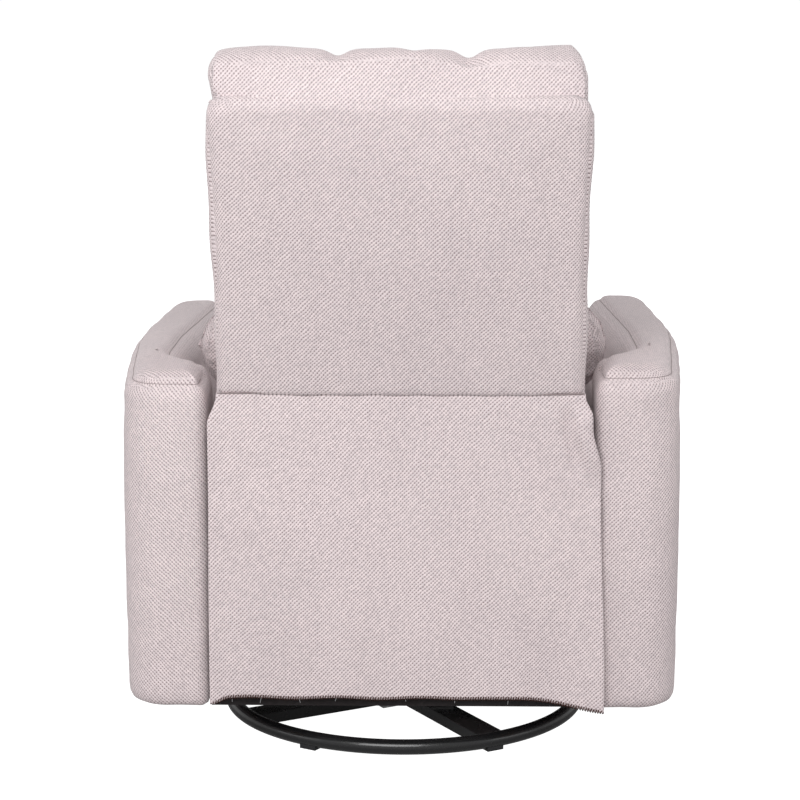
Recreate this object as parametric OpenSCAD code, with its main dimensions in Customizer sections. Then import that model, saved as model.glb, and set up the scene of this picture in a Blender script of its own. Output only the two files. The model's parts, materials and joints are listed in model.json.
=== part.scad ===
// Swivel glider nursery chair with a reclining back and a fold-out footrest.
// Millimetres. Origin on the floor under the swivel axis, +Z up, the sitter faces -Y and has +X on the left.

/* [Body] */
// Width over the arms at their widest
body_w = 824; // [800:2:840]
// Height of the top of the arms
arm_top = 575; // [565:1:590]
// Height of the lower edge of the body above the floor
body_bottom = 84; // [82:1:86]
// Height of the top of the seat cushion
seat_top = 470; // [465:1:472]

/* [Backrest] */
// Width of the backrest
back_w = 500; // [480:2:504]
// Length of the backrest above its hinge, along its slope
back_len = 706; // [696:2:716]
// Angle of the backrest from the vertical
back_lean = 16; // [14:0.5:18]

/* [Base] */
// Radius of the floor ring, to the middle of its tube
ring_r = 262; // [240:1:280]
// Radius of the ring's tube
tube_r = 11; // [10:0.5:12]
// Turn of the base cross under the chair
cross_turn = 30; // [0:5:60]

/* [Glide] */
// Distance between the pivots of a glide link
link_len = 125; // [120:1:128]
// Height of the upper glide pivots
glide_top_z = 228; // [226:1:230]

/* [Footrest] */
// Length of a footrest swing arm, between its pivots
foot_arm_len = 185; // [180:1:188]
// Length of a footrest link, between its pivots
foot_link_len = 250; // [246:1:252]

/* [Hidden] */
$fn = 48;
eps = 0.01;

// Colours
fabric_tint = [0.80, 0.76, 0.76];
black_steel = [0.08, 0.08, 0.08];
zinc = [0.70, 0.71, 0.73];
timber = [0.78, 0.64, 0.45];
nylon = [0.92, 0.91, 0.88];

// Plan of the body
arm_out_x = body_w / 2;          // outside of an arm at its widest
arm_in_x = 308;                  // inside of an arm at its middle
arm_front_y = -428;
arm_rear_y = 306;
arm_tip_x = 268;                 // inner edge of the rear wrap
arm_crown_r = 42;                // rounding of the arm's top edges
arm_foot_r = 16;                 // rounding of the arm's lower edges
side_in_x = 262;                 // inner face of the seat box side boards
side_t = 18;
rail_top_z = 345;                // top of the seat box
rail_h = 40;
front_rail_y = -375;             // front face of the front rail
rear_rail_y = 182;               // rear face of the rear rail
rail_t = 22;

// Base
ring_z = tube_r + 3;             // the ring stands on 3 mm of the floor glides
cross_w = 40;
cross_h = 16;
cross_z = 6;
cross_top = cross_z + cross_h;
plate_t = 3;
lower_plate_w = 160;
ball_r = 3;
ball_ring_r = 52;
ball_count = 24;
upper_plate_z = cross_top + plate_t + 2 * ball_r;
stand_z = upper_plate_z + plate_t;
stand_h = 16;
stand_y = 55;                    // middle of each stand member
post_r = 15;

// Glide: layers across the chair, measured from the middle
bracket_x = 238;
bracket_t = 4;
link_x = 247;
link_t = 5;
rail_x = 253;
rail_web_t = 4;
glide_y = 105;                   // pivots fore and aft of the swivel axis
glide_bottom_z = glide_top_z - link_len;
pin_r = 5;
bush_r = 8;
glide_rail_z = 88;
glide_rail_top = 120;

// Recliner mechanism: layers across the chair
mech_x = 214;
mech_t = 4;
arm_layer_x = 208;
link_layer_x = 202;
bracket_layer_x = 196;
stay_layer_x = 220;
strap_t = 4;
strap_w = 24;
foot_pivot = [-270, 285];        // y, z of the footrest arm's pivot
foot_arm_angle = -150;           // folded, measured up from straight ahead
foot_link_angle = -2;
stay_pivot = [-225, 262];
stay_len = 150;
stud_r = 5;
back_pivot = [228, 300];

// Back, in its own frame: y across its thickness, z up its slope
stile_x = 195;
stile_w = 24;
stile_y = -31;
stile_d = 45;
stile_bottom = 60;
stile_top = 636;
panel_bottom = 250;
panel_top = 664;
cushion_front = -150;
cushion_rear = 14;

// Release handle, on the inside of the right arm
release_y = -200;
release_z = 520;
release_x = -299;

// A point at a distance and angle in the fore and aft plane; 0 degrees is straight ahead, 90 is up
function swing(p, len, a) = [p[0] - len * cos(a), p[1] + len * sin(a)];
foot_knee = swing(foot_pivot, foot_arm_len, foot_arm_angle);
foot_end = swing(foot_knee, foot_link_len, foot_link_angle);
stay_end = swing(stay_pivot, stay_len, foot_arm_angle);

// ---- outlines and lofts ----

function unit(v) = v / norm(v);

// One corner [x, y, r] between two neighbours, as the points of its arc
function corner_arc(a, p, b, steps) =
    let (
        u = unit([a[0] - p[0], a[1] - p[1]]),
        v = unit([b[0] - p[0], b[1] - p[1]]),
        half = acos(max(-1, min(1, u * v))) / 2,
        c = [p[0], p[1]] + unit(u + v) * (p[2] / sin(half)),
        s = [p[0], p[1]] + u * (p[2] / tan(half)) - c,
        e = [p[0], p[1]] + v * (p[2] / tan(half)) - c,
        turn = 180 - 2 * half,
        way = s[0] * e[1] - s[1] * e[0] > 0 ? 1 : -1
    )
    [for (i = [0:steps]) let (t = way * turn * i / steps)
        c + [s[0] * cos(t) - s[1] * sin(t), s[0] * sin(t) + s[1] * cos(t)]];

// A closed outline with rounded corners, from corners [x, y, r]
function rounded(corners, steps = 6) =
    let (n = len(corners))
    [for (i = [0:n - 1])
        each corner_arc(corners[(i + n - 1) % n], corners[i], corners[(i + 1) % n], steps)];

// The same corners moved inwards by d; the last two values of a corner say which way is in
function inset(corners, d) =
    [for (c = corners) [c[0] + c[3] * d, c[1] + c[4] * d, max(c[2] - d, 1)]];

// Inset and height of each layer of a block whose lower and upper edges are rounded
function edge_layers(z0, z1, r0, r1, low = true, high = true, steps = 5) =
    let (turn = [for (i = [0:steps]) 90 * i / steps])
    concat(
        low ? [for (a = turn) [r0 * (1 - sin(a)), z0 + r0 * (1 - cos(a))]] : [[0, z0]],
        high ? [for (a = turn) [r1 * (1 - cos(a)), z1 - r1 * (1 - sin(a))]] : [[0, z1]]
    );

module loft(rings) {
    n = len(rings[0]);
    m = len(rings);
    polyhedron(
        points = [for (ring = rings) each ring],
        faces = concat(
            [[for (i = [0:n - 1]) i]],
            [for (j = [0:m - 2]) for (i = [0:n - 1])
                [j * n + i, (j + 1) * n + i, (j + 1) * n + (i + 1) % n, j * n + (i + 1) % n]],
            [[for (i = [n - 1:-1:0]) (m - 1) * n + i]]
        ),
        convexity = 8
    );
}

// A soft block: a rounded outline raised from z0 to z1 with rounded edges
module soft_block(corners, z0, z1, r0, r1, steps = 6) {
    loft([for (layer = edge_layers(z0, z1, r0, r1, r0 > 0, r1 > 0))
        [for (p = rounded(inset(corners, layer[0]), steps)) [p[0], p[1], layer[1]]]]);
}

// Outline in the y-z plane, raised along x
module across() { rotate([90, 0, 90]) children(); }

// Outline in the x-z plane, raised along -y
module facing() { rotate([90, 0, 0]) children(); }

module both_sides() {
    children();
    mirror([1, 0, 0]) children();
}

module on_back() {
    translate([0, back_pivot[0], back_pivot[1]]) rotate([-back_lean, 0, 0]) children();
}

// A round bar along x from x0 to x1 at [y, z]
module bar_x(p, x0, x1, r) {
    translate([x0, p[0], p[1]]) rotate([0, 90, 0]) cylinder(h = x1 - x0, r = r);
}

// A flat link in a fore and aft plane between two [y, z] points, without its holes
module strap(a, b, x, t, w) {
    d = b - a;
    translate([x, a[0], a[1]]) rotate([atan2(d[1], d[0]), 0, 0]) {
        translate([0, 0, -w / 2]) cube([t, norm(d), w]);
        bar_x([0, 0], 0, t, w / 2);
        bar_x([norm(d), 0], 0, t, w / 2);
    }
}

module ring_tube(extra = 0) {
    translate([0, 0, ring_z]) rotate_extrude($fn = 96) translate([ring_r, 0]) circle(r = tube_r + extra);
}

// ---- base ----

module base_ring() { color(black_steel) ring_tube(); }

// A rectangular tube along y from y0 to y1
module cross_tube(y0, y1, wall = 2) {
    translate([-cross_w / 2, y0, cross_z]) difference() {
        cube([cross_w, y1 - y0, cross_h]);
        translate([wall, -1, wall]) cube([cross_w - 2 * wall, y1 - y0 + 2, cross_h - 2 * wall]);
    }
}

module base_cross_long() {
    color(black_steel) difference() {
        rotate([0, 0, cross_turn]) cross_tube(-ring_r, ring_r);
        ring_tube(0.1);
    }
}

module base_cross_halves() {
    color(black_steel) difference() {
        for (side = [90, 270]) rotate([0, 0, cross_turn + side]) cross_tube(cross_w / 2 + 0.1, ring_r);
        ring_tube(0.1);
    }
}

// Moulded pads clipped under the ring, which the chair stands on
module floor_glides() {
    glide_w = 26;
    color([0.12, 0.12, 0.12]) difference() {
        for (a = [0:60:300]) rotate([0, 0, a]) translate([ring_r, 0, 0]) {
            translate([-8, -glide_w / 2, 0]) cube([16, glide_w, 9]);
        }
        ring_tube(0.05);
    }
}

module swivel_lower_plate() {
    color(zinc) difference() {
        union() {
            rotate([0, 0, cross_turn]) translate([-lower_plate_w / 2, -lower_plate_w / 2, cross_top])
                cube([lower_plate_w, lower_plate_w, plate_t]);
            translate([0, 0, cross_top + 1]) cylinder(h = stand_z - cross_top - 0.8 + 1, r = post_r);
            translate([0, 0, stand_z + 0.2]) cylinder(h = 3, r = post_r + 4);
        }
        rotate([0, 0, cross_turn]) for (a = [0:90:270]) rotate([0, 0, a])
            translate([68, 0, cross_top - 1]) cylinder(h = 5, r = 3.2);
    }
}

// Button-head screws through the lower plate into the cross
module swivel_lower_bolts() {
    color(zinc) rotate([0, 0, cross_turn]) for (a = [0:90:270]) rotate([0, 0, a]) translate([68, 0, 0]) {
        translate([0, 0, cross_top]) cylinder(h = plate_t + 0.5, r = 3);
        translate([0, 0, cross_top + plate_t + 0.1]) cylinder(h = 2.2, r = 4.2);
    }
}

// ---- swivel stand ----

module swivel_upper_plate() {
    color(zinc) difference() {
        translate([-75, -75, upper_plate_z]) cube([150, 150, plate_t]);
        translate([0, 0, upper_plate_z - 1]) cylinder(h = plate_t + 2, r = post_r + 0.06);
        for (x = [-60, 60]) for (y = [-stand_y, stand_y])
            translate([x, y, upper_plate_z - 1]) cylinder(h = plate_t + 2, r = 3.2);
    }
}

module swivel_balls() {
    color(zinc) for (i = [0:ball_count - 1]) rotate([0, 0, i * 360 / ball_count])
        translate([ball_ring_r, 0, cross_top + plate_t + ball_r]) sphere(r = ball_r - 0.01, $fn = 24);
}

module ball_cage() {
    color(nylon) translate([0, 0, cross_top + plate_t + ball_r - 1]) difference() {
        cylinder(h = 2, r = ball_ring_r + 6);
        translate([0, 0, -1]) cylinder(h = 4, r = ball_ring_r - 6);
        for (i = [0:ball_count - 1]) rotate([0, 0, i * 360 / ball_count])
            translate([ball_ring_r, 0, -1]) cylinder(h = 4, r = ball_r + 0.1, $fn = 24);
    }
}

module stand_members() {
    color(black_steel) for (y = [-stand_y, stand_y]) difference() {
        translate([-bracket_x, y - 20, stand_z]) cube([2 * bracket_x, 40, stand_h]);
        translate([-bracket_x - 1, y - 18, stand_z + 2]) cube([2 * bracket_x + 2, 36, stand_h - 4]);
        for (x = [-60, 60]) translate([x, y, stand_z - 1]) cylinder(h = stand_h + 2, r = 3.2);
    }
}

module stand_bolts() {
    color(zinc) for (x = [-60, 60]) for (y = [-stand_y, stand_y]) translate([x, y, 0]) {
        translate([0, 0, upper_plate_z]) cylinder(h = plate_t + stand_h + 1, r = 3);
        translate([0, 0, stand_z + stand_h]) cylinder(h = 4, r = 5.5, $fn = 6);
    }
}

// Upright plate that the glide links hang from
module glide_bracket() {
    top = glide_top_z + 18;
    color(black_steel) difference() {
        translate([bracket_x, 0, 0]) across() linear_extrude(height = bracket_t)
            polygon(rounded([
                [-90, stand_z, 6], [90, stand_z, 6], [128, glide_top_z - 40, 30],
                [126, top, 16], [-126, top, 16], [-128, glide_top_z - 40, 30]
            ]));
        bar_x([0, 135], bracket_x - 1, bracket_x + bracket_t + 1, 36);
        for (y = [-glide_y, glide_y])
            bar_x([y, glide_top_z], bracket_x - 1, bracket_x + bracket_t + 1, pin_r);
    }
}

// Shouldered pins riveted into the brackets
module upper_glide_pins() {
    color(zinc) both_sides() for (y = [-glide_y, glide_y]) {
        bar_x([y, glide_top_z], bracket_x - 4, bracket_x, bush_r);
        bar_x([y, glide_top_z], bracket_x - eps, link_x + link_t + 2, pin_r);
        bar_x([y, glide_top_z], bracket_x + bracket_t, link_x - 0.2, bush_r);
        bar_x([y, glide_top_z], link_x + link_t + 0.2, link_x + link_t + 3, bush_r);
    }
}

// ---- glide links ----

module glide_links(y) {
    color(black_steel) both_sides() difference() {
        strap([y, glide_bottom_z], [y, glide_top_z], link_x, link_t, 28);
        for (z = [glide_bottom_z, glide_top_z]) bar_x([y, z], link_x - 1, link_x + link_t + 1, bush_r);
    }
}

module link_bushes(y) {
    color(nylon) both_sides() for (z = [glide_bottom_z, glide_top_z]) difference() {
        bar_x([y, z], link_x, link_x + link_t, bush_r);
        bar_x([y, z], link_x - 1, link_x + link_t + 1, pin_r + 0.06);
    }
}

// ---- carriage: rails and seat box ----

module glide_rail() {
    color(black_steel) difference() {
        union() {
            translate([rail_x, -190, glide_rail_z])
                cube([rail_web_t, 380, glide_rail_top - glide_rail_z + 4]);
            translate([rail_x, -190, glide_rail_top]) cube([side_in_x + side_t - rail_x, 380, 4]);
        }
        for (y = [-glide_y, glide_y]) bar_x([y, glide_bottom_z], rail_x - 1, rail_x + rail_web_t + 1, pin_r);
    }
}

module lower_glide_pins() {
    color(zinc) both_sides() for (y = [-glide_y, glide_y]) {
        bar_x([y, glide_bottom_z], link_x - 3, link_x - 0.2, bush_r);
        bar_x([y, glide_bottom_z], link_x - 1, rail_x + rail_web_t, pin_r);
        bar_x([y, glide_bottom_z], rail_x + rail_web_t, rail_x + rail_web_t + 3, bush_r);
    }
}

arm_bolt_yz = [[-315, 200], [0, 200], [205, 200]];
cable_hole = [-140, 270];

module seat_side(side) {
    z0 = glide_rail_top + 4;
    color(timber) difference() {
        translate([side_in_x, front_rail_y, z0]) cube([side_t, 255 - front_rail_y, rail_top_z - z0]);
        for (p = arm_bolt_yz) bar_x(p, side_in_x - 1, side_in_x + side_t + 1, 4.2);
        if (side < 0) bar_x(cable_hole, side_in_x - 1, side_in_x + side_t + 1, 6);
    }
}

module seat_rail(y) {
    color(timber) translate([-side_in_x, y, rail_top_z - rail_h]) cube([2 * side_in_x, rail_t, rail_h]);
}

// Black cross rail at the rear, low down, which the flap is fastened to
module rear_bottom_rail() {
    color(black_steel) translate([-arm_tip_x + 3, 277, body_bottom + 2]) cube([2 * arm_tip_x - 6, 20, 36]);
}

// Blocks that hold the rear rail to the side boards
module rear_rail_blocks() {
    color(timber) both_sides() translate([side_in_x - 18, 205, body_bottom + 4]) cube([18, 72, 80]);
}

// ---- carriage: recliner mechanism ----

module mechanism_plates() {
    color(zinc) both_sides() difference() {
        union() {
            translate([mech_x, 0, 0]) across() linear_extrude(height = mech_t)
                polygon(rounded([
                    [front_rail_y, 288, 3], [-300, 262, 14], [-205, 240, 20], [-150, 264, 30],
                    [180, 264, 30], [250, 278, 14], [252, 322, 16], [200, 322, 12],
                    [192, 305, 4], [front_rail_y, 305, 3]
                ]));
            translate([mech_x, front_rail_y, 302]) cube([22, rear_rail_y - front_rail_y, 3]);
        }
        bar_x(foot_pivot, mech_x - 1, mech_x + mech_t + 1, stud_r);
        bar_x(stay_pivot, mech_x - 1, mech_x + mech_t + 1, stud_r);
        bar_x(back_pivot, mech_x - 1, mech_x + mech_t + 1, stud_r + 1);
        bar_x([-60, 288], mech_x - 1, mech_x + mech_t + 1, 3);
    }
}

// A headed pin through the plate: r in the plate, a head at each end
module plate_pin(p, x_head, x_end, r) {
    lo = min(x_head, x_end);
    hi = max(x_head, x_end);
    bar_x(p, lo, hi, r);
    bar_x(p, lo, lo + 1.5, r + 3);
    bar_x(p, hi - 1.5, hi, r + 3);
}

module mechanism_pins() {
    color(zinc) {
        both_sides() {
            plate_pin(foot_pivot, mech_x + mech_t + 1.5, arm_layer_x - 1.8, stud_r);
            plate_pin(stay_pivot, stay_layer_x + strap_t + 1.8, mech_x - 1.5, stud_r);
            plate_pin(back_pivot, stay_layer_x + strap_t + 2, mech_x - 1.5, stud_r + 1);
        }
        mirror([1, 0, 0]) plate_pin([-60, 288], stay_layer_x + 3 + 1.8, mech_x - 1.5, 3);
    }
}

// ---- carriage: springs and seat cushion ----

spring_x = [-165, -55, 55, 165];
spring_r = 1.9;
spring_z = rail_top_z + 3;
spring_runs = 19;
spring_front_y = front_rail_y + 11;
spring_pitch = (rear_rail_y - 11 - spring_front_y) / (spring_runs - 1);
spring_half_w = 15;
spring_rear_y = spring_front_y + (spring_runs - 1) * spring_pitch;
spring_end_side = spring_runs % 2 == 0 ? -1 : 1;

// Half a turn of the zigzag, from run i to run i + 1
function spring_turn(i, x) =
    let (s = i % 2 == 0 ? 1 : -1, y = spring_front_y + i * spring_pitch, r = spring_pitch / 2)
    [for (a = [0:60:180]) [x + s * (spring_half_w + r * sin(a)), y + r * (1 - cos(a)), spring_z]];
function spring_path(x) = concat(
    [[x - spring_half_w, spring_front_y, spring_z]],
    [for (i = [0:spring_runs - 2]) each spring_turn(i, x)],
    [[x + spring_end_side * spring_half_w, spring_rear_y, spring_z]]
);

// A tube swept along points, with a ring of sides at each
module tube_along(path, r, sides = 6) {
    n = len(path);
    function way(i) = unit(path[min(i + 1, n - 1)] - path[max(i - 1, 0)]);
    function across_way(d) = unit(cross(d, abs(d[2]) > 0.9 ? [0, 1, 0] : [0, 0, 1]));
    loft([for (i = [0:n - 1]) let (d = way(i), u = across_way(d), v = cross(d, u))
        [for (k = [0:sides - 1]) path[i] + r * (cos(360 * k / sides) * u + sin(360 * k / sides) * v)]]);
}

module seat_springs() {
    color(zinc) for (x = spring_x) tube_along(spring_path(x), spring_r);
}

// Clips that hold each end of a spring on its rail
module spring_clips() {
    color(nylon) for (x = spring_x) for (y = [spring_front_y, spring_rear_y])
        difference() {
            translate([x - 9, y - 6, rail_top_z]) cube([18, 12, 6.5]);
            translate([x - 10, y - 2.2, spring_z - 2.2]) cube([20, 4.4, 4.4]);
        }
}

module seat_cushion() {
    color(fabric_tint) soft_block([
        [-285, arm_front_y - 2, 40, 1, 1], [285, arm_front_y - 2, 40, -1, 1], [303, -20, 500, -1, 0],
        [300, 168, 40, -1, -1], [255, 206, 40, -1, -1],
        [-255, 206, 40, 1, -1], [-300, 168, 40, 1, -1], [-303, -20, 500, 1, 0]
    ], rail_top_z + 8, seat_top, 14, 34);
}

// ---- carriage: arms ----

// The padding of an arm is in three blocks: the front one, and a lower and an upper one that wrap round the
// rear. Plans of the left arm; the last two values of a corner point inwards
wrap_y = 149;                      // the rear wrap starts here
wrap_x = arm_out_x - 15.2;         // outside of the arm there
wrap_z = rail_top_z + 1;           // top of the lower wrap
arm_plan = [
    [290, arm_front_y, 48, 1, 1], [arm_out_x - 8, arm_front_y, 58, -1, 1], [arm_out_x + 4, -70, 2400, -1, 0],
    [wrap_x, wrap_y, 2, -1, 0], [arm_in_x, wrap_y, 2, 1, 0], [arm_in_x, -20, 700, 1, 0]
];
wrap_start = [[arm_in_x, wrap_y + 0.3, 1.5, 1, 0], [wrap_x, wrap_y + 0.3, 2, -1, 0],
    [arm_out_x - 29, arm_rear_y, 78, -1, -1]];
wrap_plan = concat(wrap_start, [
    [arm_tip_x, arm_rear_y, 16, 0.85, -1], [arm_tip_x, arm_rear_y - 106, 16, 0.85, 0.41],
    [arm_in_x, arm_rear_y - 146, 12, 1, 0.41]
]);
low_wrap_x = side_in_x + side_t + 1;
low_wrap_plan = concat(wrap_start, [
    [low_wrap_x, arm_rear_y, 14, 1, -1], [low_wrap_x, 187, 6, 1, 0.41],
    [arm_in_x, arm_rear_y - 146, 12, 1, 0.41]
]);
arm_hollow = [333, 375, arm_front_y + 24, 146];    // x from, x to, y from, y to
arm_hollow_len = arm_hollow[3] - arm_hollow[2];
arm_hollow_top = arm_top - 32;
rear_pocket = [333, 365, 184, 226];                // hollow for the rear post, as above
rear_pocket_top = wrap_z - 6;

module arm_cover(side) {
    color(fabric_tint) {
        difference() {
            soft_block(arm_plan, body_bottom, arm_top, arm_foot_r, arm_crown_r);
            translate([arm_hollow[0], arm_hollow[2], body_bottom - 1])
                cube([arm_hollow[1] - arm_hollow[0], arm_hollow_len, arm_hollow_top - body_bottom + 1]);
            if (side < 0) translate([-release_x - 20, release_y - 8.2, release_z - 8.2])
                cube([60, 16.4, 16.4]);
        }
        difference() {
            soft_block(low_wrap_plan, body_bottom, wrap_z, arm_foot_r, 0);
            translate([rear_pocket[0], rear_pocket[2], body_bottom - 1])
                cube([rear_pocket[1] - rear_pocket[0], rear_pocket[3] - rear_pocket[2],
                    rear_pocket_top - body_bottom]);
        }
        soft_block(wrap_plan, wrap_z + 0.3, arm_top, 0, arm_crown_r);
    }
}

// Black cloth boards that close the undersides of the arms
module arm_dust_covers() {
    color(black_steel) both_sides() for (h = [arm_hollow, rear_pocket])
        translate([h[0] + 0.5, h[2] + 0.5, body_bottom + 0.5]) cube([h[1] - h[0] - 1, h[3] - h[2] - 1, 2]);
}

// Ribs and posts inside an arm
module arm_frame() {
    rib_t = 15;
    z0 = body_bottom + 4;
    z1 = arm_hollow_top - 2;
    color(timber) difference() {
        union() {
            for (z = [z0, z1 - rib_t]) translate([335, arm_front_y + 30, z]) cube([40, 540, rib_t]);
            for (y = [-332, -18, 104]) translate([336, y, z0 + rib_t - 1])
                cube([38, 34, z1 - z0 - 2 * rib_t + 2]);
            translate([335, 188, z0]) cube([28, 34, rear_pocket_top - 4 - z0]);
        }
        for (p = arm_bolt_yz) bar_x(p, 330, 353, 4.1);
    }
}

module arm_bolts() {
    color(zinc) both_sides() for (p = arm_bolt_yz) {
        bar_x(p, side_in_x - 3.5, side_in_x, 8);
        bar_x(p, side_in_x - eps, 351, 4);
    }
}

// Fabric flap that hangs from the backrest and covers the opening behind the seat
module rear_flap() {
    flap_t = 3;
    color(fabric_tint) translate([0, arm_rear_y + 5 + flap_t, 0]) facing() linear_extrude(height = flap_t)
        polygon([[-273, 96], [273, 96], [back_w / 2 + 1, 533], [-back_w / 2 - 1, 533]]);
}

// ---- release handle, cable and latch, on the right ----

module release_bezel() {
    color(black_steel) difference() {
        union() {
            translate([release_x, release_y - 38, release_z - 19]) cube([3, 76, 38]);
            bar_x([release_y, release_z], release_x - 36, release_x + 1, 8);
        }
        bar_x([release_y, release_z], release_x - 40, release_x + 5, 4.3);
    }
}

module release_pull() {
    color([0.15, 0.15, 0.15]) {
        bar_x([release_y, release_z], release_x - 30, release_x + 5, 4);
        translate([release_x + 3.3, release_y, release_z]) rotate([90, 0, 90])
            linear_extrude(height = 7)
                polygon(rounded([[-30, -12, 10], [30, -12, 10], [30, 12, 10], [-30, 12, 10]]));
    }
}

cable_r = 3;
cable_route = [
    [-335.5, -200, 520], [-346, -200, 518], [-354, -200, 508], [-358, -200, 490], [-359, -198, 450],
    [-359, -192, 400], [-357, -182, 350], [-352, -168, 310], [-344, -154, 285], [-333, -145, 273],
    [-320, -141, 270.5], [-300, -140, 270], [-280, -140, 270], [-262, -140, 270], [-250, -137, 270],
    [-241, -129, 269], [-235, -118, 266], [-231, -106, 262], [-230, -100, 260]
];

module release_cable() {
    color([0.1, 0.1, 0.1]) tube_along(cable_route, cable_r, 8);
}

module latch_lever() {
    color(zinc) mirror([1, 0, 0]) difference() {
        union() {
            strap([-60, 288], [-68, 252], stay_layer_x, 3, 14);
            translate([stay_layer_x, -74, 246]) cube([14, 3, 12]);
        }
        bar_x([-60, 288], stay_layer_x - 1, stay_layer_x + 5, 3.1);
    }
}

// ---- backrest ----

module back_stile() {
    color(timber) on_back() translate([stile_x, stile_y, stile_bottom])
        cube([stile_w, stile_d, stile_top - stile_bottom]);
}

module back_cross_rails() {
    color(timber) on_back() for (z = [stile_bottom + 10, stile_top - 40])
        translate([-stile_x, stile_y + 12, z]) cube([2 * stile_x, 22, 40]);
}

// Elastic webbing across the frame
module back_webbing() {
    color([0.85, 0.82, 0.75]) on_back() for (z = [150:95:530])
        translate([-stile_x - 20, stile_y - 2.2, z]) cube([2 * stile_x + 40, 2, 50]);
}

module back_brackets() {
    color(zinc) on_back() both_sides() {
        difference() {
            union() {
                translate([stay_layer_x, -13, 0]) cube([strap_t, 26, 240]);
                bar_x([0, 0], stay_layer_x, stay_layer_x + strap_t, 17);
            }
            bar_x([0, 0], stay_layer_x - 1, stay_layer_x + strap_t + 1, stud_r + 1.06);
            for (z = [90, 150, 210]) bar_x([0, z], stay_layer_x - 1, stay_layer_x + strap_t + 1, 3.2);
        }
        for (z = [90, 150, 210]) {
            bar_x([0, z], stay_layer_x - 0.5, stay_layer_x + strap_t, 3);
            bar_x([0, z], stay_layer_x + strap_t, stay_layer_x + strap_t + 2.5, 6);
        }
    }
}

// Covered board that closes the back of the backrest
module back_panel() {
    color(fabric_tint) on_back() translate([0, 20, 0]) facing() linear_extrude(height = 5.7)
        polygon(rounded([
            [-back_w / 2 + 1, panel_bottom, 3], [back_w / 2 - 1, panel_bottom, 3],
            [back_w / 2 - 3, panel_top, 14], [-back_w / 2 + 3, panel_top, 14]
        ]));
}

// Side view of the cushion: it stands in front of the frame and wraps over its top
// The back cushion is a slab in front of the frame and a roll over its top, each drawn from the side
roll_z = stile_top + 5;
back_slab = [
    [cushion_front, 141, 32, 1, 1], [stile_y - 5, 174, 4, -1, 1], [stile_y - 5, roll_z, 2, -1, 0],
    [-141, roll_z, 2, 1, 0], [-158, 480, 300, 1, 0]
];
back_roll = [
    [-141, roll_z + 0.3, 2, 1, 0], [cushion_rear, roll_z + 0.3, 2, -1, 0],
    [-4, back_len, 44, -1, -1], [-134, back_len, 56, 1, -1]
];

module back_cushion() {
    color(fabric_tint) on_back() translate([-back_w / 2, 0, 0]) across() {
        soft_block(back_slab, 0, back_w, 28, 28);
        soft_block(back_roll, 0, back_w, 28, 28);
    }
}

// Padded bands that cover the sides of the frame
module back_side_bands() {
    color(fabric_tint) on_back() both_sides() translate([stay_layer_x + strap_t + 4, stile_y - 4.7, 0])
        translate([0, 0, 178]) cube([back_w / 2 - stay_layer_x - strap_t - 6, 50, stile_top + 4.7 - 178]);
}

module lumbar_pillow() {
    color(fabric_tint) on_back() translate([0, -162, 0]) facing() soft_block([
        [-286, 125, 84, 1, 1], [286, 125, 84, -1, 1], [286, 300, 84, -1, -1], [-286, 300, 84, 1, -1]
    ], 0, 104, 50, 50);
}

// ---- footrest ----

// Swing arms, each with a stud at the knee
module footrest_arms() {
    color(black_steel) both_sides() {
        difference() {
            strap(foot_pivot, foot_knee, arm_layer_x, strap_t, strap_w);
            bar_x(foot_pivot, arm_layer_x - 1, arm_layer_x + strap_t + 1, stud_r + 0.06);
        }
        bar_x(foot_knee, link_layer_x - 1.8, arm_layer_x + eps, stud_r);
        bar_x(foot_knee, link_layer_x - 1.8, link_layer_x - 0.3, stud_r + 3);
    }
}

// Cross tube that keeps the left and right arms in step
module torsion_tube() {
    p = swing(foot_pivot, 60, foot_arm_angle);
    color(black_steel) difference() {
        bar_x(p, -arm_layer_x, arm_layer_x, 9);
        bar_x(p, -arm_layer_x - 1, arm_layer_x + 1, 7.5);
    }
}

module footrest_links() {
    color(black_steel) both_sides() {
        difference() {
            strap(foot_knee, foot_end, link_layer_x, strap_t, strap_w);
            bar_x(foot_knee, link_layer_x - 1, link_layer_x + strap_t + 1, stud_r + 0.06);
        }
        bar_x(foot_end, bracket_layer_x - 1.8, link_layer_x + eps, stud_r);
        bar_x(foot_end, bracket_layer_x - 1.8, bracket_layer_x - 0.3, stud_r + 3);
    }
}

module footrest_stays() {
    color(black_steel) both_sides() difference() {
        strap(stay_pivot, stay_end, stay_layer_x, strap_t, 20);
        for (p = [stay_pivot, stay_end])
            bar_x(p, stay_layer_x - 1, stay_layer_x + strap_t + 1, stud_r + 0.06);
    }
}

board_back_y = -378;
board_t = 15;

module footrest_brackets() {
    h = 90;
    color(black_steel) both_sides() difference() {
        union() {
            strap(foot_end, [board_back_y + 13, foot_end[1] + 24], bracket_layer_x, strap_t, strap_w);
            translate([bracket_layer_x, board_back_y, foot_end[1] - 20]) cube([strap_t, 14, h]);
            translate([bracket_layer_x - 20, board_back_y, foot_end[1] - 20]) cube([22, 3, h]);
        }
        bar_x(foot_end, bracket_layer_x - 1, bracket_layer_x + strap_t + 1, stud_r + 0.06);
    }
}

module footrest_board() {
    color(timber) translate([-272, board_back_y - board_t, 102]) cube([544, board_t, 231]);
}

module footrest_pad() {
    z0 = 97;
    z1 = 347;
    color(fabric_tint) translate([0, board_back_y - board_t, 0]) facing() soft_block([
        [-284, z0, 24, 1, 1], [284, z0, 24, -1, 1], [284, z1, 24, -1, -1], [-284, z1, 24, 1, -1]
    ], 0, 45, 4, 26);
}

// ---- nodes ----

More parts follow.
